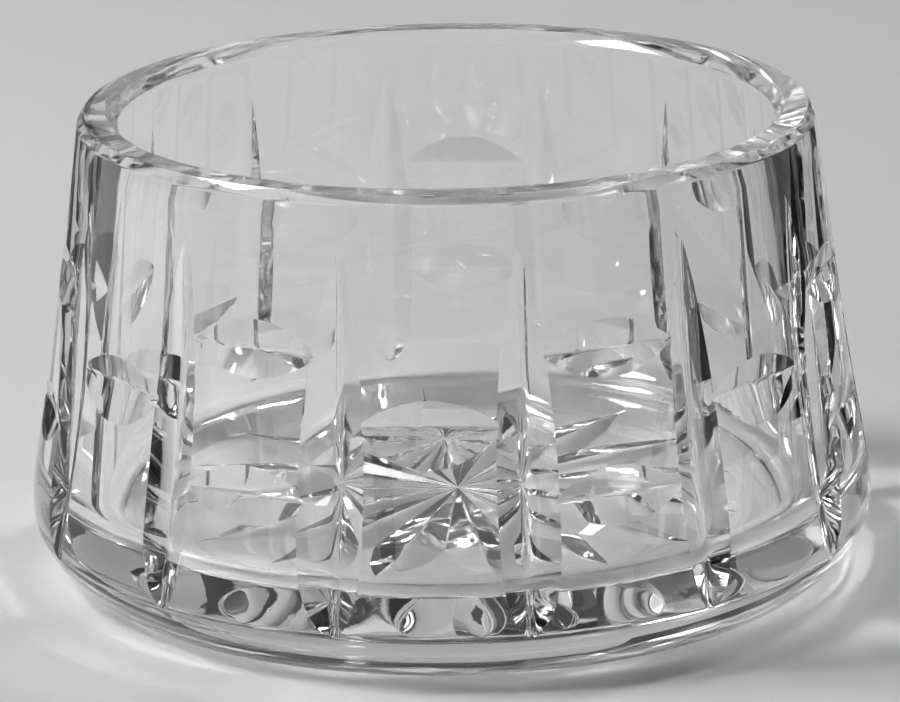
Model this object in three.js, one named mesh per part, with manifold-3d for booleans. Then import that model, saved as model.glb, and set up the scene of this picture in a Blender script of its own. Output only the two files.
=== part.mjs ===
// Cut-crystal sugar bowl without a lid: one piece of clear glass, ground and polished.
// Units are millimetres, +Z is up, the foot stands on z = 0 and the axis of the bowl is the Z axis.
// The front of the bowl, -Y, is the middle of a panel that carries a single lens cut.
import * as THREE from 'three';
import { mergeVertices, toCreasedNormals } from 'three/addons/utils/BufferGeometryUtils.js';
import Module from 'manifold-3d';

// Blown blank, outside
const HEIGHT = 59.0;            // table to the top of the rim
const RIM_RADIUS = 46.0;        // outside, just under the rim bevel
const EDGE_RADIUS = 53.05;      // outside, at the lower edge of the wall
const EDGE_HEIGHT = 7.0;        // height of that lower edge above the table
const FOOT_RADIUS = 46.5;       // where the foot bevel meets the table
const FOOT_BULGE = 0.9;         // how far the foot bevel is rounded out of a plain cone
const SHOULDER_BULGE = 0.73;    // how far the wall swells out of a plain cone low down
const SHOULDER_RISE = 6.0;      // height of the fullest swelling above the lower edge

// Rim, ground flat with a bevel on both sides
const RIM_BEVEL = 1.0;          // outside bevel, across and down
const RIM_FLAT = 2.9;           // width of the flat top
const LIP_BEVEL = 1.2;          // inside bevel, across and down

// Hollow
const FLOOR_HEIGHT = 8.9;       // thickness of the base under the floor
const LOW_WALL = 7.7;           // thickness of the wall where the floor fillet starts
const FLOOR_FILLET = 4.5;       // rounding where the inside wall meets the floor

// Long mitre cuts down the wall
const PANELS = 14;              // panels round the bowl, with a mitre between each two
const MITRE_DEPTH = 1.64;       // deepest point of a mitre under the wall
const MITRE_HEIGHT = 24.0;      // height of that deepest point
const MITRE_RIM_GAP = 5.8;      // from the upper tip to the top of the rim
const MITRE_OVERCUT = 1.1;      // how far under the lower edge the lower tip would run out
const MITRE_FULLNESS = 4.5;     // power of the lower run-out: higher keeps the groove wide for longer
const MITRE_ANGLE = 134.0;      // degrees between the two faces of the groove

// Lens cuts across the panels
const LENS_ANGLE = 146.0;       // degrees between the two faces of a lens
const SINGLE_HEIGHT = 31.9;     // height of the lens on a panel with one
const SINGLE_DEPTH = 1.19;      // its deepest point under the wall
const SINGLE_WHEEL = 102.0;     // radius of the cutting wheel that leaves it
const SINGLE_TIP = 3.5;         // degrees the wheel is tipped from square towards level
const PAIR_UPPER = 40.0;        // height of the upper lens on a panel with two
const PAIR_LOWER = 22.6;        // height of the lower one
const PAIR_DEPTH = 1.08;        // deepest point of both under the wall
const PAIR_WHEEL = 118.0;       // radius of the cutting wheel that leaves them

// Star cut under the base
const STAR_RAYS = 16;           // rays of the star
const STAR_RADIUS = 37.0;       // tip of a ray from the axis
const STAR_WIDEST = 22.0;       // distance of the deepest point of a ray from the axis
const STAR_DEPTH = 1.9;         // depth of a ray at that point
const STAR_ANGLE = 130.0;       // degrees between the two faces of a ray
const STAR_FULLNESS = 1.5;      // power of the run-out from there to the tip

// Fineness of the facets
const PANEL_STEPS = 8;          // steps round the bowl in one panel
const MITRE_STEPS = 9;
const LENS_STEPS = 8;
const STAR_STEPS = 7;
const FILLET_STEPS = 5;
const FOOT_STEPS = 6;

const wasm = await Module();
wasm.setup();

const rad = THREE.MathUtils.degToRad;
const panelTurn = (2 * Math.PI) / PANELS;
const mitreTop = HEIGHT - MITRE_RIM_GAP;
const mitreBottom = EDGE_HEIGHT - MITRE_OVERCUT;
const starTurn = -panelTurn / 2;  // one ray lies under the mitre left of the front

// Outside of the wall between the lower edge and the rim bevel
const wallTop = HEIGHT - RIM_BEVEL;
function wallRadius(z) {
  const t = (z - EDGE_HEIGHT) / (wallTop - EDGE_HEIGHT);
  const s = Math.max(0, z - EDGE_HEIGHT) / SHOULDER_RISE;
  return THREE.MathUtils.lerp(EDGE_RADIUS, RIM_RADIUS, t) + SHOULDER_BULGE * s * Math.exp(1 - s);
}
function wallSlope(z) {
  return (wallRadius(z + 0.01) - wallRadius(z - 0.01)) / 0.02;
}

// Half section of the uncut bowl, from the middle of the foot round to the middle of the floor
function blankSection() {
  const section = [new THREE.Vector2(0, 0)];
  const foot = new THREE.Vector2(FOOT_RADIUS, 0);
  const edge = new THREE.Vector2(EDGE_RADIUS, EDGE_HEIGHT);
  const outward = new THREE.Vector2(edge.y - foot.y, foot.x - edge.x).normalize();
  for (let i = 0; i < FOOT_STEPS; i += 1) {
    const s = i / FOOT_STEPS;
    section.push(foot.clone().lerp(edge, s).addScaledVector(outward, FOOT_BULGE * 4 * s * (1 - s)));
  }
  const stations = [0, 0.03, 0.065, 0.11, 0.165, 0.235, 0.325, 0.45, 0.68, 1];
  for (const t of stations) {
    const z = THREE.MathUtils.lerp(EDGE_HEIGHT, wallTop, t);
    section.push(new THREE.Vector2(wallRadius(z), z));
  }
  const flatOuter = RIM_RADIUS - RIM_BEVEL;
  const flatInner = flatOuter - RIM_FLAT;
  const lipRadius = flatInner - LIP_BEVEL;
  const lipHeight = HEIGHT - LIP_BEVEL;
  section.push(new THREE.Vector2(flatOuter, HEIGHT), new THREE.Vector2(flatInner, HEIGHT));
  section.push(new THREE.Vector2(lipRadius, lipHeight));
  // inside wall down to the fillet, whose arc is tangent to the wall and to the floor
  const centreZ = FLOOR_HEIGHT + FLOOR_FILLET;
  const hollowRadius = wallRadius(centreZ) - LOW_WALL;
  const draft = Math.atan2(hollowRadius - lipRadius, lipHeight - centreZ);
  const centreR = hollowRadius - FLOOR_FILLET / Math.cos(draft);
  for (let i = 0; i <= FILLET_STEPS; i += 1) {
    const a = THREE.MathUtils.lerp(draft, -Math.PI / 2, i / FILLET_STEPS);
    const reach = centreR + FLOOR_FILLET * Math.cos(a);
    section.push(new THREE.Vector2(reach, centreZ + FLOOR_FILLET * Math.sin(a)));
  }
  section.push(new THREE.Vector2(0, FLOOR_HEIGHT));
  return section;
}

// Closed solid from a geometry: seams joined, empty triangles dropped, faces turned outward
function solidOf(geometry) {
  const bare = new THREE.BufferGeometry();
  bare.setAttribute('position', geometry.getAttribute('position').clone());
  if (geometry.index) bare.setIndex(geometry.index.clone());
  const joined = mergeVertices(bare, 1e-4);
  const place = joined.getAttribute('position');
  const index = joined.index.array;
  const kept = [];
  let volume = 0;
  const [a, b, c] = [new THREE.Vector3(), new THREE.Vector3(), new THREE.Vector3()];
  for (let i = 0; i < index.length; i += 3) {
    const [p, q, r] = [index[i], index[i + 1], index[i + 2]];
    if (p === q || q === r || r === p) continue;
    kept.push(p, q, r);
    a.fromBufferAttribute(place, p);
    b.fromBufferAttribute(place, q);
    c.fromBufferAttribute(place, r);
    volume += a.dot(b.cross(c));
  }
  if (volume < 0) {
    for (let i = 0; i < kept.length; i += 3) [kept[i + 1], kept[i + 2]] = [kept[i + 2], kept[i + 1]];
  }
  const mesh = new wasm.Mesh({
    numProp: 3,
    vertProperties: Float32Array.from(place.array),
    triVerts: Uint32Array.from(kept),
  });
  return new wasm.Manifold(mesh);
}

// Wedge swept along a groove: each station is [valley, one shoulder, other shoulder]
function grooveCutter(stations) {
  const points = stations.flat();
  const faces = [];
  const last = 3 * (stations.length - 1);
  for (let k = 0; k < last; k += 3) {
    for (let e = 0; e < 3; e += 1) {
      const [p, q] = [k + e, k + ((e + 1) % 3)];
      faces.push(p, q, q + 3, p, q + 3, p + 3);
    }
  }
  faces.push(0, 2, 1, last, last + 1, last + 2);
  const geometry = new THREE.BufferGeometry().setFromPoints(points);
  geometry.setIndex(faces);
  return geometry;
}

// Turn a cutter made for the +X side to a bearing counted from the front, -Y
function toBearing(geometry, turn) {
  return geometry.clone().rotateZ(turn - Math.PI / 2);
}

// Depth of a long mitre under the wall: a long taper upward, a short one at the shoulder
function mitreDepth(z) {
  const up = (z - MITRE_HEIGHT) / (mitreTop - MITRE_HEIGHT);
  const down = (MITRE_HEIGHT - z) / (MITRE_HEIGHT - mitreBottom);
  return MITRE_DEPTH * (z > MITRE_HEIGHT ? 1 - up ** 2 : 1 - down ** MITRE_FULLNESS);
}

function mitreCutter() {
  const clear = 2.5;            // height of the wedge over its valley
  const spread = clear * Math.tan(rad(MITRE_ANGLE / 2));
  const overrun = 1.2;          // how far the wedge goes on past both tips
  const stations = [];
  for (let i = 0; i <= MITRE_STEPS; i += 1) {
    const z = THREE.MathUtils.lerp(mitreBottom - overrun, mitreTop + overrun, i / MITRE_STEPS);
    const wall = z < EDGE_HEIGHT ? EDGE_RADIUS : wallRadius(z);
    const valley = wall - mitreDepth(z);
    stations.push([
      new THREE.Vector3(valley, 0, z),
      new THREE.Vector3(valley + clear, spread, z),
      new THREE.Vector3(valley + clear, -spread, z),
    ]);
  }
  return grooveCutter(stations);
}

// Lens: the rim of a mitre wheel pressed against the wall, square to it or tipped towards level
function lensCutter(z, depth, wheel, tip) {
  const lift = Math.atan(-wallSlope(z)) - rad(tip);
  const out = new THREE.Vector3(Math.cos(lift), 0, Math.sin(lift));
  const up = new THREE.Vector3(-Math.sin(lift), 0, Math.cos(lift));
  const clear = depth + 1.2;
  const spread = clear * Math.tan(rad(LENS_ANGLE / 2));
  const centre = new THREE.Vector3(wallRadius(z), 0, z).addScaledVector(out, wheel - depth);
  const swing = Math.asin(Math.min(0.9, Math.sqrt(2 * wheel * depth) / wheel));
  const stations = [];
  for (let i = 0; i <= LENS_STEPS; i += 1) {
    const a = THREE.MathUtils.lerp(-swing, swing, i / LENS_STEPS);
    const spoke = out.clone().multiplyScalar(-Math.cos(a)).add(new THREE.Vector3(0, Math.sin(a), 0));
    const valley = centre.clone().addScaledVector(spoke, wheel);
    const shoulder = centre.clone().addScaledVector(spoke, wheel - clear);
    stations.push([
      valley,
      shoulder.clone().addScaledVector(up, spread),
      shoulder.clone().addScaledVector(up, -spread),
    ]);
  }
  return grooveCutter(stations);
}

// Ray of the star: deepens steadily from the middle, then runs out in a rounded tip
function rayDepth(r) {
  if (r < STAR_WIDEST) return STAR_DEPTH * (r / STAR_WIDEST);
  return STAR_DEPTH * (1 - ((r - STAR_WIDEST) / (STAR_RADIUS - STAR_WIDEST)) ** STAR_FULLNESS);
}

function rayCutter() {
  const drop = 0.8;             // how far the wedge reaches below the foot
  const slant = Math.tan(rad(STAR_ANGLE / 2));
  const start = 0.35;           // keeps the tips of the rays a little apart at the middle
  const radii = [start, STAR_WIDEST];
  for (let i = 1; i <= STAR_STEPS; i += 1) {
    radii.push(THREE.MathUtils.lerp(STAR_WIDEST, STAR_RADIUS + 0.6, i / STAR_STEPS));
  }
  const stations = radii.map((r) => {
    const depth = rayDepth(r);
    const spread = (depth + drop) * slant;
    return [
      new THREE.Vector3(r, 0, depth),
      new THREE.Vector3(r, -spread, -drop),
      new THREE.Vector3(r, spread, -drop),
    ];
  });
  return grooveCutter(stations);
}

// The blank, then every cut
const lathed = new THREE.LatheGeometry(blankSection(), PANELS * PANEL_STEPS).rotateX(Math.PI / 2);
let bowl = solidOf(lathed);
const cutters = [];
const mitre = mitreCutter();
const single = lensCutter(SINGLE_HEIGHT, SINGLE_DEPTH, SINGLE_WHEEL, SINGLE_TIP);
const pair = [PAIR_UPPER, PAIR_LOWER].map((z) => lensCutter(z, PAIR_DEPTH, PAIR_WHEEL, 0));
for (let k = 0; k < PANELS; k += 1) {
  cutters.push(toBearing(mitre, (k + 0.5) * panelTurn));
  const lenses = k % 2 === 0 ? [single] : pair;
  for (const lens of lenses) cutters.push(toBearing(lens, k * panelTurn));
}
const ray = rayCutter();
for (let k = 0; k < STAR_RAYS; k += 1) {
  cutters.push(toBearing(ray, starTurn + (k * 2 * Math.PI) / STAR_RAYS));
}
for (const cutter of cutters) bowl = bowl.subtract(solidOf(cutter));

const cut = bowl.getMesh();
const geometry = new THREE.BufferGeometry();
geometry.setAttribute('position', new THREE.BufferAttribute(Float32Array.from(cut.vertProperties), 3));
geometry.setIndex(Array.from(cut.triVerts));

const crystal = new THREE.MeshStandardMaterial({
  name: 'crystal_glass',
  color: 0xe6ecec,
  metalness: 0,
  roughness: 0.05,
  transparent: true,
  opacity: 0.45,
});
const mesh = new THREE.Mesh(toCreasedNormals(geometry, rad(20)), crystal);
mesh.name = 'glass_bowl';

const sugarBowl = new THREE.Group();
sugarBowl.name = 'sugar_bowl';
sugarBowl.add(mesh);

export default sugarBowl;
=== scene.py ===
"""Cut-crystal sugar bowl without a lid, standing on pale paper in a small studio.

The bowl is one piece of clear glass: a turned blank with upright mitre cuts, lens cuts on the
panels between them and a star under its base. Sizes are in millimetres and angles in degrees
where nothing else is said. Finished meshes are in metres.
"""

import logging
import math
from dataclasses import dataclass, field
from enum import Enum

import bmesh
import bpy
from mathutils import Matrix, Vector


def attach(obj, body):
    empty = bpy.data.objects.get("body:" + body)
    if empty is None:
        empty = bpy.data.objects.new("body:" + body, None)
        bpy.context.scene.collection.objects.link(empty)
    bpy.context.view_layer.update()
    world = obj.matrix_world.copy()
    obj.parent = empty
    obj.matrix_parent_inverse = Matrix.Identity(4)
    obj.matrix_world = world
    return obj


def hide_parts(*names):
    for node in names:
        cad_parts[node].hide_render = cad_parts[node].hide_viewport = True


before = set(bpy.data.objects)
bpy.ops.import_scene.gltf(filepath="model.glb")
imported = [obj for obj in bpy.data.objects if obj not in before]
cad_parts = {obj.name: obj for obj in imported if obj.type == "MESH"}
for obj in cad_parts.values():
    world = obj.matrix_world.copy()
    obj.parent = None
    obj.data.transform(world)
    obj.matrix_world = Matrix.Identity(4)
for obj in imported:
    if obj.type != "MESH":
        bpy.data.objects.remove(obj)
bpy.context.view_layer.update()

LOG = logging.getLogger("sugar_bowl")
MM = 0.001
FULL_TURN = 2 * math.pi

# Panels round the wall, with a mitre cut between each two.
PANELS = 14
# Steps round the nose of a wheel, and how far past it a supporting edge runs on each flank.
NOSE_STEPS = 8
PAST_NOSE = 0.35
# Points of the blank that lie closer than this are one point.
WELD = 1e-4
# Radius at which wheel marks have their true length round the bowl.
MARK_RADIUS = 50.0
# How far the camera stands round to the right of the front, and the height that it looks at.
CAMERA_TURN = 2.9
AIM_HEIGHT = 25.0
# How often light may pass from air to glass or back, and how often it may be mirrored.
PASSES = 32
MIRRORINGS = 16


class Surface(Enum):
    """Kinds of surface on the bowl, each with a polish of its own."""

    WALL = "crystal_wall"
    MITRE = "crystal_mitre"
    LENS = "crystal_lens"
    STAR = "crystal_star"
    RIM = "crystal_rim"


class LensPanel(Enum):
    """Panels that carry a row of lens cuts, every second one from the number given."""

    SINGLE = 0
    PAIR = 1


def object_from(mesh: bmesh.types.BMesh, name: str) -> bpy.types.Object:
    """Turn a finished bmesh in millimetres into an object in the scene.

    Args:
        mesh: The bmesh, which is freed.
        name: Name of the object and of its mesh.

    Returns:
        The new object, at the origin, with its place in its mesh.
    """
    bmesh.ops.scale(mesh, vec=(MM, MM, MM), verts=mesh.verts)
    bmesh.ops.recalc_face_normals(mesh, faces=mesh.faces)
    data = bpy.data.meshes.new(name)
    mesh.to_mesh(data)
    mesh.free()
    made = bpy.data.objects.new(name, data)
    bpy.context.scene.collection.objects.link(made)
    return made


def wheel_nose(angle: float, clear: float, rounding: float) -> list[tuple[float, float]]:
    """Section of a grinding wheel's rim: two straight flanks and a rounded nose.

    Args:
        angle: Degrees between the flanks.
        clear: How far the section reaches out from the point where the flanks would meet.
        rounding: Radius of the nose.

    Returns:
        Closed outline as pairs: distance outward, distance sideways.
    """
    half = math.radians(angle / 2)
    middle = rounding / math.sin(half)
    sweep = math.pi / 2 - half
    near = rounding / math.tan(half) + PAST_NOSE
    side = [(clear, clear * math.tan(half)), (near * math.cos(half), near * math.sin(half))]
    nose = []
    for k in range(NOSE_STEPS + 1):
        a = sweep * (1 - 2 * k / NOSE_STEPS)
        nose.append((middle - rounding * math.cos(a), rounding * math.sin(a)))
    return side + nose + [(out, -across) for out, across in reversed(side)]


def sweep_section(mesh: bmesh.types.BMesh, stations: list[list[Vector]]) -> None:
    """Sweep a section along a groove by extruding its end face from station to station.

    Args:
        mesh: The bmesh that gets the closed wedge.
        stations: Outline of the section at each step, with its points in one order.
    """
    end = mesh.faces.new([mesh.verts.new(place) for place in stations[0]])
    for before, after in zip(stations, stations[1:]):
        start = end
        grown = bmesh.ops.extrude_face_region(mesh, geom=[start])["geom"]
        end = next(item for item in grown if isinstance(item, bmesh.types.BMFace))
        if before is not stations[0]:
            bmesh.ops.delete(mesh, geom=[start], context="FACES_ONLY")
        for vert in end.verts:
            nearest = min(range(len(before)), key=lambda k: (before[k] - vert.co).length)
            vert.co = after[nearest]


def to_bearing(bearing: float) -> Matrix:
    """Turn from the +X side to a bearing in radians, counted from the front, -Y, to the right."""
    return Matrix.Rotation(bearing - math.pi / 2, 3, "Z")


@dataclass(frozen=True)
class Bevel:
    """Bevel along the rim, by its width seen from above and its drop from the top."""

    width: float
    drop: float


@dataclass
class Blank:
    """The turned bowl before any cut is made.

    A rounded foot meets the wall in the lower edge. The wall is a cone with a slight swell, the
    shoulder, above that edge. The rim is flat on top between an outer bevel and the lip's.
    """

    height: float = 59.0
    rim_radius: float = 46.0
    edge_radius: float = 52.99
    edge_height: float = 7.0
    foot_radius: float = 46.5
    foot_bulge: float = 0.9
    shoulder_bulge: float = 0.73
    shoulder_rise: float = 6.0
    cone_top: float = 58.0
    rim_bevel: Bevel = Bevel(0.76, 1.24)
    rim_flat: float = 3.14
    lip_bevel: Bevel = Bevel(1.16, 1.34)
    floor_height: float = 8.9
    low_wall: float = 7.7
    floor_fillet: float = 4.5
    edge_softness: float = 0.18
    edge_segments: int = 3
    flat_margin: float = 0.6
    foot_steps: int = 20
    wall_steps: int = 34
    wall_crowding: float = 1.6
    hollow_shares: tuple[float, ...] = (0.02, 0.25, 0.5, 0.75, 0.98)
    fillet_steps: int = 14
    round_steps: int = 448

    def wall_radius(self, z: float) -> float:
        """Outside radius of the wall.

        Args:
            z: Height above the table.

        Returns:
            The radius at that height.
        """
        t = (z - self.edge_height) / (self.cone_top - self.edge_height)
        s = max(0.0, z - self.edge_height) / self.shoulder_rise
        cone = self.edge_radius + (self.rim_radius - self.edge_radius) * t
        return cone + self.shoulder_bulge * s * math.exp(1 - s)

    def wall_slope(self, z: float) -> float:
        """Change of the outside radius with height, at the height z."""
        step = 0.01
        return (self.wall_radius(z + step) - self.wall_radius(z - step)) / (2 * step)

    def foot_points(self) -> list[tuple[float, float]]:
        """Draw the rounded foot from the table to just under the lower edge.

        Returns:
            Pairs of radius and height.
        """
        chord = Vector((self.edge_radius - self.foot_radius, self.edge_height))
        outward = Vector((chord.y, -chord.x)).normalized()
        points = []
        for k in range(self.foot_steps):
            s = k / self.foot_steps
            bulge = outward * self.foot_bulge * 4 * s * (1 - s)
            points.append(tuple(Vector((self.foot_radius, 0)) + chord * s + bulge))
        return points

    def wall_points(self) -> list[tuple[float, float]]:
        """Draw the wall from the lower edge to the rim, with its points closest at the shoulder.

        Returns:
            Pairs of radius and height.
        """
        rise = self.height - self.rim_bevel.drop - self.edge_height
        shares = [(k / self.wall_steps) ** self.wall_crowding for k in range(self.wall_steps + 1)]
        heights = [self.edge_height + rise * share for share in shares]
        return [(self.wall_radius(z), z) for z in heights]

    def rim_points(self) -> list[tuple[float, float]]:
        """Draw the flat of the rim and the end of the lip's bevel.

        Returns:
            Pairs of radius and height.
        """
        outer = self.rim_radius - self.rim_bevel.width
        inner = outer - self.rim_flat
        lip = (inner - self.lip_bevel.width, self.height - self.lip_bevel.drop)
        return [(outer, self.height), (inner, self.height), lip]

    def hollow_points(self, lip_radius: float, lip_height: float) -> list[tuple[float, float]]:
        """Draw the hollow from under the lip, round the fillet, to the middle of the floor.

        Args:
            lip_radius: Radius where the lip's bevel ends.
            lip_height: Height where the lip's bevel ends.

        Returns:
            Pairs of radius and height.
        """
        middle_z = self.floor_height + self.floor_fillet
        hollow = self.wall_radius(middle_z) - self.low_wall
        draft = math.atan2(hollow - lip_radius, lip_height - middle_z)
        middle_r = hollow - self.floor_fillet / math.cos(draft)
        fillet_top = middle_z + self.floor_fillet * math.sin(draft)
        points = []
        for share in self.hollow_shares:
            z = lip_height + (fillet_top - lip_height) * share
            points.append((lip_radius + (lip_height - z) * math.tan(draft), z))
        for k in range(self.fillet_steps + 1):
            a = draft + (-math.pi / 2 - draft) * k / self.fillet_steps
            out, rise = self.floor_fillet * math.cos(a), self.floor_fillet * math.sin(a)
            points.append((middle_r + out, middle_z + rise))
        return points + [(middle_r - self.flat_margin, self.floor_height), (0.0, self.floor_height)]

    def section(self) -> tuple[list[Vector], list[int]]:
        """Half section from the middle of the foot round to the middle of the floor.

        Returns:
            Points in the XZ plane, and the places in that list of its hard corners.
        """
        flat = [(0.0, 0.0), (self.foot_radius - self.flat_margin, 0.0)]
        foot, wall, rim = self.foot_points(), self.wall_points(), self.rim_points()
        edge = len(flat) + len(foot)
        wall_top = edge + len(wall) - 1
        corners = [len(flat), edge, wall_top] + [wall_top + k for k in range(1, len(rim) + 1)]
        points = flat + foot + wall + rim + self.hollow_points(*rim[-1])
        return [Vector((r, 0.0, z)) for r, z in points], corners

    def build(self) -> bmesh.types.BMesh:
        """Soften the section's corners and spin it round the axis.

        Returns:
            The closed blank.
        """
        mesh = bmesh.new()
        points, corners = self.section()
        verts = [mesh.verts.new(place) for place in points]
        for pair in zip(verts, verts[1:]):
            mesh.edges.new(pair)
        bmesh.ops.bevel(
            mesh, geom=[verts[k] for k in corners], offset=self.edge_softness, offset_type="OFFSET",
            affect="VERTICES", segments=self.edge_segments, profile=0.5, material=-1,
        )
        bmesh.ops.spin(
            mesh, geom=list(mesh.verts) + list(mesh.edges), cent=(0, 0, 0), axis=(0, 0, 1),
            dvec=(0, 0, 0), angle=FULL_TURN, steps=self.round_steps, use_merge=True,
        )
        bmesh.ops.remove_doubles(mesh, verts=mesh.verts, dist=WELD)
        return mesh


@dataclass(frozen=True)
class Hand:
    """How one cut differs from its pattern, since each was set to the wheel by eye."""

    deeper: float = 0.0
    lean: float = 0.0


@dataclass
class MitreCuts:
    """Long upright grooves, one between each two panels."""

    blank: Blank
    depth: float = 1.64
    deepest_height: float = 24.0
    rim_gap: float = 5.8
    overcut: float = 1.1
    upper_fullness: float = 2.0
    lower_fullness: float = 4.5
    angle: float = 134.0
    nose: float = 1.7
    clear: float = 2.5
    overrun: float = 1.2
    steps: int = 44
    hands: dict[int, Hand] = field(default_factory=lambda: {
        0: Hand(0.07, 1.2), 1: Hand(-0.13, 0.4), 2: Hand(0.05, -0.8), 4: Hand(-0.08, 1.0),
        6: Hand(0.06, -0.6), 7: Hand(-0.05, 0.9), 9: Hand(0.1, -1.1), 11: Hand(0.04, 0.7),
        12: Hand(-0.08, -0.5), 13: Hand(0.22, -3.4),
    })

    def depth_at(self, z: float, depth: float) -> float:
        """Depth of a groove under the wall.

        Args:
            z: Height above the table.
            depth: The groove's greatest depth.

        Returns:
            The depth at that height, negative past the groove's tips.
        """
        top = self.blank.height - self.rim_gap
        bottom = self.blank.edge_height - self.overcut
        if z > self.deepest_height:
            away = (z - self.deepest_height) / (top - self.deepest_height)
            return depth * (1 - away ** self.upper_fullness)
        away = (self.deepest_height - z) / (self.deepest_height - bottom)
        return depth * (1 - away ** self.lower_fullness)

    def build(self) -> bmesh.types.BMesh:
        """Sweep a groove up the wall between each two panels.

        Returns:
            The cutters.
        """
        mesh = bmesh.new()
        section = wheel_nose(self.angle, self.clear, self.nose)
        low = self.blank.edge_height - self.overcut - self.overrun
        high = self.blank.height - self.rim_gap + self.overrun
        for k in range(PANELS):
            hand = self.hands.get(k, Hand())
            turn = to_bearing((k + 0.5) * FULL_TURN / PANELS)
            lean = Matrix.Rotation(math.radians(hand.lean), 3, "Z")
            outline = [lean @ Vector((out, across, 0)) for out, across in section]
            stations = []
            for i in range(self.steps + 1):
                z = low + (high - low) * i / self.steps
                wall = self.blank.wall_radius(max(z, self.blank.edge_height))
                valley = Vector((wall - self.depth_at(z, self.depth + hand.deeper), 0, z))
                stations.append([turn @ (valley + place) for place in outline])
            sweep_section(mesh, stations)
        return mesh


@dataclass
class LensCuts:
    """Short cross cuts in one row, each left by the rim of a mitre wheel."""

    blank: Blank
    panel: LensPanel
    height: float
    tilt: float = 0.0
    depth: float = 1.08
    wheel: float = 118.0
    angle: float = 146.0
    nose: float = 1.1
    clear: float = 1.2
    steps: int = 36

    def build(self) -> bmesh.types.BMesh:
        """Spin the wheel's rim through the wall of every second panel.

        Returns:
            The cutters.
        """
        mesh = bmesh.new()
        section = wheel_nose(self.angle, self.depth + self.clear, self.nose)
        lift = math.atan(-self.blank.wall_slope(self.height)) - math.radians(self.tilt)
        out = Vector((math.cos(lift), 0, math.sin(lift)))
        up = Vector((-math.sin(lift), 0, math.cos(lift)))
        touch = Vector((self.blank.wall_radius(self.height), 0, self.height))
        centre = touch + out * (self.wheel - self.depth)
        swing = math.asin(math.sqrt(2 * self.wheel * self.depth) / self.wheel)
        start = Matrix.Rotation(-swing, 3, up)
        rim = [out * (outward - self.wheel) + up * across for outward, across in section]
        outline = [start @ place for place in rim]
        for k in range(self.panel.value, PANELS, len(LensPanel)):
            turn = to_bearing(k * FULL_TURN / PANELS)
            face = mesh.faces.new([mesh.verts.new(turn @ (centre + place)) for place in outline])
            bmesh.ops.spin(
                mesh, geom=[face] + list(face.edges) + list(face.verts), cent=turn @ centre,
                axis=turn @ up, dvec=(0, 0, 0), angle=2 * swing, steps=self.steps, use_merge=False,
            )
        return mesh


@dataclass
class StarCut:
    """Wide rays cut into the underside of the base."""

    rays: int = 16
    first: float = -12.857
    centre: tuple[float, float] = (0.65, 1.6)
    radius: float = 37.0
    widest: float = 22.0
    depth: float = 2.0
    runout: float = 1.5
    angle: float = 130.0
    nose: float = 0.5
    clear: float = 0.8
    start: float = 0.35
    inner_shares: tuple[float, float] = (0.3, 0.65)
    overrun: float = 0.6
    steps: int = 20

    def depth_at(self, r: float) -> float:
        """Depth of a ray above the table.

        Args:
            r: Distance from the middle of the star.

        Returns:
            The depth at that distance, negative past the ray's tip.
        """
        if r < self.widest:
            return self.depth * r / self.widest
        return self.depth * (1 - ((r - self.widest) / (self.radius - self.widest)) ** self.runout)

    def build_ray(self, k: int) -> bmesh.types.BMesh:
        """Sweep one ray from the middle to its tip.

        Args:
            k: Number of the ray, counted from the front.

        Returns:
            The cutter.
        """
        mesh = bmesh.new()
        reach = self.radius + self.overrun - self.widest
        radii = [self.start] + [self.widest * share for share in self.inner_shares]
        radii += [self.widest + reach * i / self.steps for i in range(self.steps + 1)]
        turn = to_bearing(math.radians(self.first) + k * FULL_TURN / self.rays)
        stations = []
        for r in radii:
            depth = self.depth_at(r)
            nose = self.nose * min(1.0, r / self.widest)
            section = wheel_nose(self.angle, depth + self.clear, nose)
            ring = [turn @ Vector((r, across, depth - inward)) for inward, across in section]
            stations.append([place + Vector((*self.centre, 0)) for place in ring])
        sweep_section(mesh, stations)
        return mesh


def add_maths(
    tree: bpy.types.NodeTree, operation: str, first: bpy.types.NodeSocket,
    second: bpy.types.NodeSocket | float = 0.0,
) -> bpy.types.NodeSocket:
    """Add a Math node to a node tree.

    Args:
        tree: The tree of a material or a group.
        operation: What the node does, as Blender names it.
        first: Socket for its first input.
        second: Socket or plain value for its second input.

    Returns:
        The socket with the result.
    """
    node = tree.nodes.new("ShaderNodeMath")
    node.operation = operation
    tree.links.new(first, node.inputs[0])
    if isinstance(second, float):
        node.inputs[1].default_value = second
    else:
        tree.links.new(second, node.inputs[1])
    return node.outputs[0]


def place_round_axis(tree: bpy.types.NodeTree, place: bpy.types.NodeSocket) -> bpy.types.NodeSocket:
    """Add the nodes that lay a place out round the bowl's axis.

    Args:
        tree: The polish group.
        place: Socket with the place, in metres.

    Returns:
        Socket with the millimetres round the bowl, away from its axis and up.
    """
    split = tree.nodes.new("ShaderNodeSeparateXYZ")
    tree.links.new(place, split.inputs[0])
    x, y, z = split.outputs
    angle = add_maths(tree, "ARCTAN2", x, add_maths(tree, "MULTIPLY", y, -1.0))
    squares = [add_maths(tree, "MULTIPLY", side, side) for side in (x, y)]
    radius = add_maths(tree, "SQRT", add_maths(tree, "ADD", *squares))
    joined = tree.nodes.new("ShaderNodeCombineXYZ")
    for k, (value, scale) in enumerate(((angle, MARK_RADIUS), (radius, 1 / MM), (z, 1 / MM))):
        tree.links.new(add_maths(tree, "MULTIPLY", value, scale), joined.inputs[k])
    return joined.outputs[0]


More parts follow.
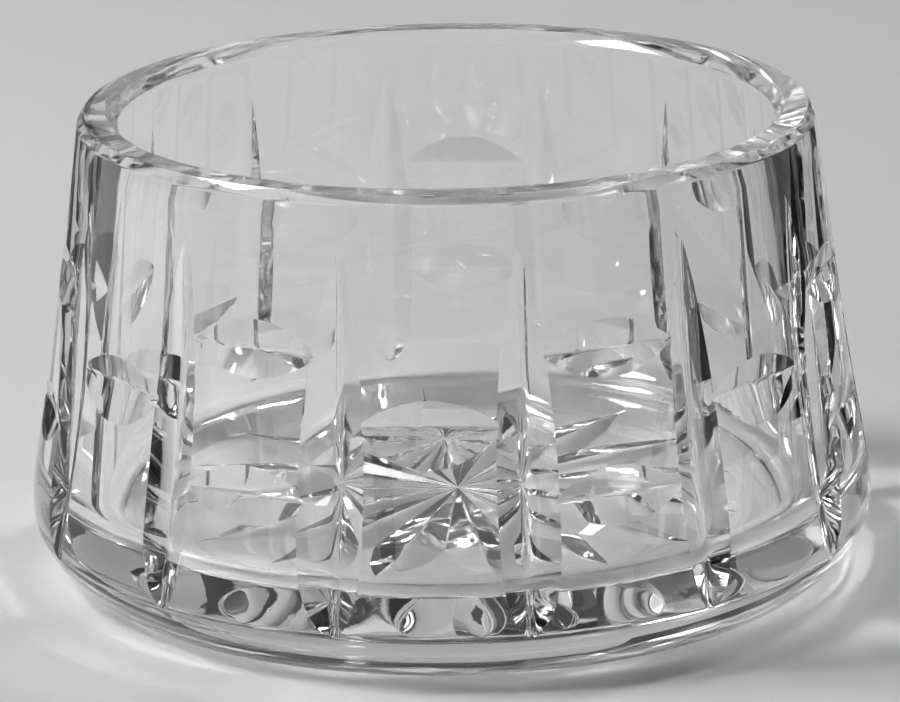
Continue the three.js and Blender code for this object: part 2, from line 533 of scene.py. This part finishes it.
def polish_group() -> bpy.types.NodeTree:
    """Build the shared polish: soft ripple everywhere and wheel marks drawn out along a cut.

    Wheel marks are laid out round the bowl's axis. Stretch gives how often they repeat in a
    millimetre round the bowl, away from its axis and up.

    Returns:
        The node group, with its outputs Height, in millimetres, and Roughness.
    """
    group = bpy.data.node_groups.new("crystal_polish", "ShaderNodeTree")
    for name in ("Place", "Stretch"):
        group.interface.new_socket(name, in_out="INPUT", socket_type="NodeSocketVector")
    for name in ("Mark Height", "Ripple Repeat", "Ripple Height", "Mark Roughness"):
        group.interface.new_socket(name, in_out="INPUT", socket_type="NodeSocketFloat")
    for name in ("Height", "Roughness"):
        group.interface.new_socket(name, in_out="OUTPUT", socket_type="NodeSocketFloat")
    nodes, links = group.nodes, group.links
    given = nodes.new("NodeGroupInput").outputs
    result = nodes.new("NodeGroupOutput").inputs
    drawn = nodes.new("ShaderNodeVectorMath")
    drawn.operation = "MULTIPLY"
    links.new(place_round_axis(group, given["Place"]), drawn.inputs[0])
    links.new(given["Stretch"], drawn.inputs[1])
    marks = nodes.new("ShaderNodeTexNoise")
    marks.inputs["Scale"].default_value = 1.0
    marks.inputs["Detail"].default_value = 3.0
    marks.inputs["Roughness"].default_value = 0.55
    links.new(drawn.outputs[0], marks.inputs["Vector"])
    ripple = nodes.new("ShaderNodeTexNoise")
    ripple.inputs["Detail"].default_value = 1.0
    links.new(given["Place"], ripple.inputs["Vector"])
    links.new(given["Ripple Repeat"], ripple.inputs["Scale"])
    ground = add_maths(group, "MULTIPLY", marks.outputs[0], given["Mark Height"])
    rippled = add_maths(group, "MULTIPLY", ripple.outputs[0], given["Ripple Height"])
    links.new(add_maths(group, "ADD", ground, rippled), result["Height"])
    worn = add_maths(group, "MULTIPLY", marks.outputs[0], given["Mark Roughness"])
    links.new(worn, result["Roughness"])
    return group


@dataclass(frozen=True)
class CrystalFinish:
    """Clear lead crystal with the polish of one kind of surface.

    Stretch is how often the wheel marks repeat in a millimetre, as the polish group says.
    """

    surface: Surface
    stretch: tuple[float, float, float]
    mark_height: float
    mark_roughness: float
    ripple_size: float
    ripple_height: float
    ior: float = 1.545

    def material(self, polish: bpy.types.NodeTree) -> bpy.types.Material:
        """Make the glass material.

        Args:
            polish: The shared polish group.

        Returns:
            The material.
        """
        made = bpy.data.materials.new(self.surface.value)
        made.use_nodes = True
        nodes, links = made.node_tree.nodes, made.node_tree.links
        shader = nodes["Principled BSDF"]
        shader.inputs["Base Color"].default_value = (1, 1, 1, 1)
        shader.inputs["Transmission Weight"].default_value = 1.0
        shader.inputs["IOR"].default_value = self.ior
        place = nodes.new("ShaderNodeTexCoord")
        group = nodes.new("ShaderNodeGroup")
        group.node_tree = polish
        group.inputs["Stretch"].default_value = self.stretch
        group.inputs["Mark Height"].default_value = self.mark_height
        group.inputs["Ripple Repeat"].default_value = 1 / (self.ripple_size * MM)
        group.inputs["Ripple Height"].default_value = self.ripple_height
        group.inputs["Mark Roughness"].default_value = self.mark_roughness
        bump = nodes.new("ShaderNodeBump")
        bump.inputs["Strength"].default_value = 1.0
        bump.inputs["Distance"].default_value = MM
        links.new(place.outputs["Object"], group.inputs["Place"])
        links.new(group.outputs["Height"], bump.inputs["Height"])
        links.new(group.outputs["Roughness"], shader.inputs["Roughness"])
        links.new(bump.outputs["Normal"], shader.inputs["Normal"])
        return made


FINISHES = (
    CrystalFinish(
        Surface.WALL, stretch=(0.04, 1.2, 1.2), mark_height=0.0007, mark_roughness=0.004,
        ripple_size=7.0, ripple_height=0.004,
    ),
    CrystalFinish(
        Surface.MITRE, stretch=(2.6, 2.6, 0.05), mark_height=0.003, mark_roughness=0.02,
        ripple_size=5.0, ripple_height=0.008,
    ),
    CrystalFinish(
        Surface.LENS, stretch=(0.1, 1.8, 1.8), mark_height=0.004, mark_roughness=0.03,
        ripple_size=4.0, ripple_height=0.01,
    ),
    CrystalFinish(
        Surface.STAR, stretch=(2.0, 0.09, 0.5), mark_height=0.0012, mark_roughness=0.02,
        ripple_size=4.0, ripple_height=0.004,
    ),
    CrystalFinish(
        Surface.RIM, stretch=(2.2, 0.1, 0.1), mark_height=0.008, mark_roughness=0.05,
        ripple_size=3.0, ripple_height=0.012,
    ),
)


@dataclass
class CutCrystalBowl:
    """The whole bowl: blank, cuts and polish."""

    blank: Blank = field(default_factory=Blank)
    star: StarCut = field(default_factory=StarCut)
    single_height: float = 31.9
    single_tilt: float = 3.5
    single_depth: float = 1.19
    single_wheel: float = 102.0
    pair_heights: tuple[float, float] = (40.0, 22.6)
    crease: float = 12.0

    def cutters(self) -> list[tuple[Surface, bmesh.types.BMesh]]:
        """Make every cutter, with the kind of surface that it leaves.

        Returns:
            The cutters in the order of work.
        """
        rows = [LensCuts(
            self.blank, LensPanel.SINGLE, self.single_height, tilt=self.single_tilt,
            depth=self.single_depth, wheel=self.single_wheel,
        )]
        rows += [LensCuts(self.blank, LensPanel.PAIR, height) for height in self.pair_heights]
        made = [(Surface.MITRE, MitreCuts(self.blank).build())]
        made += [(Surface.LENS, row.build()) for row in rows]
        made += [(Surface.STAR, self.star.build_ray(k)) for k in range(self.star.rays)]
        return made

    def dress(self, bowl: bpy.types.Object) -> dict[Surface, bpy.types.Material]:
        """Give the blank its materials, with the rim in one of its own.

        Args:
            bowl: The blank.

        Returns:
            The material of each kind of surface.
        """
        polish = polish_group()
        materials = {finish.surface: finish.material(polish) for finish in FINISHES}
        for material in materials.values():
            bowl.data.materials.append(material)
        rim = list(materials).index(Surface.RIM)
        lip = (self.blank.height - self.blank.lip_bevel.drop) * MM
        for face in bowl.data.polygons:
            if face.center.z > lip:
                face.material_index = rim
        return materials

    def grind(self, bowl: bpy.types.Object, materials: dict[Surface, bpy.types.Material]) -> None:
        """Take every cut out of the blank.

        Args:
            bowl: The blank, which becomes the cut bowl.
            materials: The material of each kind of surface.
        """
        tools = []
        for k, (surface, mesh) in enumerate(self.cutters()):
            tool = object_from(mesh, f"cutter_{k}")
            tool.data.materials.append(materials[surface])
            tools.append(tool)
            cut = bowl.modifiers.new(tool.name, "BOOLEAN")
            cut.operation = "DIFFERENCE"
            cut.solver = "MANIFOLD"
            cut.object = tool
            cut.material_mode = "TRANSFER"
            LOG.info("%s: %s cut", tool.name, surface.name.lower())
        bpy.context.view_layer.update()
        graph = bpy.context.evaluated_depsgraph_get()
        finished = bpy.data.meshes.new_from_object(bowl.evaluated_get(graph))
        bowl.modifiers.clear()
        bowl.data = finished
        for tool in tools:
            bpy.data.objects.remove(tool)

    def build(self) -> bpy.types.Object:
        """Turn, dress and cut the bowl, and shade it smooth between its sharp edges.

        Returns:
            The finished bowl.
        """
        bowl = object_from(self.blank.build(), "cut_crystal_bowl")
        LOG.info("blank: %d faces", len(bowl.data.polygons))
        self.grind(bowl, self.dress(bowl))
        bowl.data.shade_smooth()
        bowl.data.set_sharp_from_angle(angle=math.radians(self.crease))
        LOG.info("bowl: %d faces", len(bowl.data.polygons))
        return bowl


@dataclass(frozen=True)
class MattFinish:
    """Plain matt grey for paper and card, with its tone from 0 to 1."""

    name: str
    tone: float
    roughness: float = 0.9
    gloss: float = 0.1

    def material(self) -> bpy.types.Material:
        """Make the matt material.

        Returns:
            The material.
        """
        made = bpy.data.materials.new(self.name)
        made.use_nodes = True
        shader = made.node_tree.nodes["Principled BSDF"]
        shader.inputs["Base Color"].default_value = (self.tone, self.tone, self.tone, 1)
        shader.inputs["Roughness"].default_value = self.roughness
        shader.inputs["Specular IOR Level"].default_value = self.gloss
        return made


@dataclass
class PaperSweep:
    """Pale paper that lies under the bowl and rises behind it."""

    left: float = -1500.0
    right: float = 1500.0
    front: float = -1500.0
    bend_start: float = 620.0
    bend: float = 260.0
    bend_steps: int = 16
    top: float = 520.0
    drop: float = 0.06
    finish: MattFinish = MattFinish("floor_paper", 0.75)

    def build(self) -> bpy.types.Object:
        """Draw the paper's side view and extrude it across.

        Returns:
            The paper.
        """
        profile = [(self.front, 0.0), (self.bend_start, 0.0)]
        for k in range(1, self.bend_steps + 1):
            a = math.pi / 2 * k / self.bend_steps
            back, rise = self.bend * math.sin(a), self.bend * (1 - math.cos(a))
            profile.append((self.bend_start + back, rise))
        profile.append((self.bend_start + self.bend, self.top))
        mesh = bmesh.new()
        verts = [mesh.verts.new((self.left, y, z - self.drop)) for y, z in profile]
        edges = [mesh.edges.new(pair) for pair in zip(verts, verts[1:])]
        grown = bmesh.ops.extrude_edge_only(mesh, edges=edges)["geom"]
        far = [item for item in grown if isinstance(item, bmesh.types.BMVert)]
        bmesh.ops.translate(mesh, vec=(self.right - self.left, 0, 0), verts=far)
        paper = object_from(mesh, "paper_sweep")
        paper.data.shade_smooth()
        paper.data.materials.append(self.finish.material())
        LOG.info("paper sweep: %.0f mm wide", self.right - self.left)
        return paper


@dataclass(frozen=True)
class StudioCard:
    """Upright card near the bowl, so that the cut faces on its side read dark or grey.

    Start and stop are its ends, seen from above. Only the glass sees it: it casts no shadow and
    stays out of the picture. A mirrored card is also clear to a straight look through the wall,
    and shows only where the glass mirrors it.
    """

    name: str
    start: tuple[float, float]
    stop: tuple[float, float]
    tone: float
    low: float = 1.0
    high: float = 320.0
    mirrored: bool = False

    def material(self) -> bpy.types.Material:
        """Make the card's matt face, which on a mirrored card is clear to any other look.

        Returns:
            The material.
        """
        made = MattFinish(self.name, self.tone).material()
        if self.mirrored:
            nodes, links = made.node_tree.nodes, made.node_tree.links
            depth = nodes.new("ShaderNodeLightPath").outputs["Glossy Depth"]
            clear = nodes.new("ShaderNodeBsdfTransparent")
            choose = nodes.new("ShaderNodeMixShader")
            half_a_mirroring = 0.5
            seen = add_maths(made.node_tree, "GREATER_THAN", depth, half_a_mirroring)
            links.new(seen, choose.inputs[0])
            links.new(clear.outputs[0], choose.inputs[1])
            links.new(nodes["Principled BSDF"].outputs[0], choose.inputs[2])
            links.new(choose.outputs[0], nodes["Material Output"].inputs["Surface"])
        return made

    def build(self) -> bpy.types.Object:
        """Extrude the card's lower edge upward.

        Returns:
            The card.
        """
        mesh = bmesh.new()
        ends = [mesh.verts.new((*place, self.low)) for place in (self.start, self.stop)]
        grown = bmesh.ops.extrude_edge_only(mesh, edges=[mesh.edges.new(ends)])["geom"]
        upper = [item for item in grown if isinstance(item, bmesh.types.BMVert)]
        bmesh.ops.translate(mesh, vec=(0, 0, self.high - self.low), verts=upper)
        card = object_from(mesh, self.name)
        card.data.materials.append(self.material())
        card.visible_camera = False
        card.visible_shadow = False
        card.visible_diffuse = False
        LOG.info("%s stands", self.name)
        return card


@dataclass(frozen=True)
class StudioLamp:
    """Soft lamp that faces the bowl.

    Azimuth counts from straight behind the bowl, as the camera sees it, to the right. Distance,
    from the middle of the foot, and the face's width and height are in metres. Radiance is how
    bright the face is, where 1 is a white surface in the picture.
    """

    name: str
    azimuth: float
    elevation: float
    distance: float
    size: tuple[float, float]
    radiance: float

    def place(self) -> Vector:
        """Work out where the lamp hangs.

        Returns:
            The middle of its face, in metres.
        """
        a = math.radians(self.azimuth) - math.radians(CAMERA_TURN)
        e = math.radians(self.elevation)
        ahead = Vector((math.cos(e) * math.sin(a), math.cos(e) * math.cos(a), math.sin(e)))
        return self.distance * ahead

    def hang(self) -> None:
        """Hang the lamp in the scene."""
        width, height = self.size
        lamp = bpy.data.lights.new(self.name, "AREA")
        lamp.shape = "RECTANGLE"
        lamp.size, lamp.size_y = width, height
        lamp.energy = self.radiance * math.pi * width * height
        holder = bpy.data.objects.new(self.name, lamp)
        holder.location = self.place()
        holder.rotation_mode = "QUATERNION"
        facing = Vector((0, 0, AIM_HEIGHT * MM)) - self.place()
        holder.rotation_quaternion = facing.to_track_quat("-Z", "Y")
        bpy.context.scene.collection.objects.link(holder)
        LOG.info("%s lamp hangs", self.name)


def turn_pair(first: Vector, second: Vector, angle: float) -> tuple[Vector, Vector]:
    """Turn two axes of a camera in the plane that they lie in.

    Args:
        first: One axis.
        second: The other, square to it.
        angle: Degrees that the second axis turns towards the first.

    Returns:
        Both axes after the turn.
    """
    c, s = math.cos(math.radians(angle)), math.sin(math.radians(angle))
    return first * c - second * s, first * s + second * c


@dataclass
class PhotoCamera:
    """Camera as it was fitted to the photograph, with its focal length in pixels."""

    distance: float = 665.908
    elevation: float = 16.506
    pan: float = 0.004
    tilt: float = 0.148
    roll: float = -0.951
    focal: float = 5257.591
    picture_width: float = 900.0
    sensor_width: float = 36.0
    nearest: float = 0.01

    def set_up(self) -> None:
        """Place the camera and make it the scene's own."""
        c, s = math.cos(math.radians(self.elevation)), math.sin(math.radians(self.elevation))
        place = Vector((0, -self.distance * c, self.distance * s + AIM_HEIGHT))
        right, ahead = Vector((1, 0, 0)), Vector((0, c, -s))
        up = right.cross(ahead)
        right, ahead = turn_pair(right, ahead, self.pan)
        up, ahead = turn_pair(up, ahead, self.tilt)
        right, up = turn_pair(right, up, -self.roll)
        axes = Matrix((right, up, -ahead)).transposed()
        spin = Matrix.Rotation(math.radians(CAMERA_TURN), 4, "Z")
        lens = bpy.data.cameras.new("photo_camera")
        lens.sensor_width = self.sensor_width
        lens.lens = self.focal * self.sensor_width / self.picture_width
        lens.clip_start = self.nearest
        camera = bpy.data.objects.new("photo_camera", lens)
        camera.matrix_world = spin @ Matrix.Translation(place * MM) @ axes.to_4x4()
        bpy.context.scene.collection.objects.link(camera)
        bpy.context.scene.camera = camera


@dataclass
class Studio:
    """What stands round the bowl: paper, cards, lamps, a dim room and the camera."""

    paper: PaperSweep = field(default_factory=PaperSweep)
    cards: tuple[StudioCard, ...] = (
        StudioCard("dark_card_right", (102.0, -110.0), (111.0, 290.0), tone=0.002, mirrored=True),
        StudioCard("low_card_right", (108.0, 4.0), (108.0, 150.0), tone=0.002, high=46.0),
        StudioCard("dark_card_left", (-122.0, 42.0), (-90.0, 310.0), tone=0.12, mirrored=True),
        StudioCard(
            "grey_wall_behind", (-1500.0, 900.0), (1500.0, 900.0), tone=0.6, low=500.0, high=1300.0,
        ),
    )
    lamps: tuple[StudioLamp, ...] = (
        StudioLamp("key", 268.0, 50.0, 0.95, size=(0.31, 0.31), radiance=20.8),
        StudioLamp("window", 232.0, 25.0, 1.6, size=(1.0, 0.8), radiance=1.0),
        StudioLamp("ceiling", 44.0, 62.0, 1.5, size=(0.12, 0.12), radiance=92.0),
    )
    room: float = 0.006
    camera: PhotoCamera = field(default_factory=PhotoCamera)

    def darken_room(self) -> None:
        """Set the dim grey of the room past the paper."""
        world = bpy.data.worlds.new("studio")
        bpy.context.scene.world = world
        world.use_nodes = True
        tone = (self.room, self.room, self.room, 1)
        world.node_tree.nodes["Background"].inputs["Color"].default_value = tone

    def build(self) -> None:
        """Set everything up round the bowl."""
        self.paper.build()
        for card in self.cards:
            card.build()
        for lamp in self.lamps:
            lamp.hang()
        self.darken_room()
        self.camera.set_up()


def clear_startup() -> None:
    """Remove the objects that a new scene starts with."""
    for name in ("Cube", "Light", "Camera"):
        if name in bpy.data.objects:
            bpy.data.objects.remove(bpy.data.objects[name])


def open_light_paths(scene: bpy.types.Scene) -> None:
    """Let light run through all the walls and cuts of the glass, with its bright spots kept.

    Args:
        scene: The scene to set.
    """
    scene.cycles.max_bounces = PASSES
    scene.cycles.transmission_bounces = PASSES
    scene.cycles.glossy_bounces = MIRRORINGS
    scene.cycles.sample_clamp_indirect = 0
    scene.cycles.blur_glossy = 0


def main() -> None:
    """Build the bowl and its studio."""
    logging.basicConfig(level=logging.INFO, format="%(message)s")
    scene = bpy.context.scene
    scene.view_settings.view_transform = "Standard"
    open_light_paths(scene)
    clear_startup()
    bowl = CutCrystalBowl().build()
    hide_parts("glass_bowl")
    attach(bowl, "root")
    Studio().build()


if __name__ == "__main__":
    main()
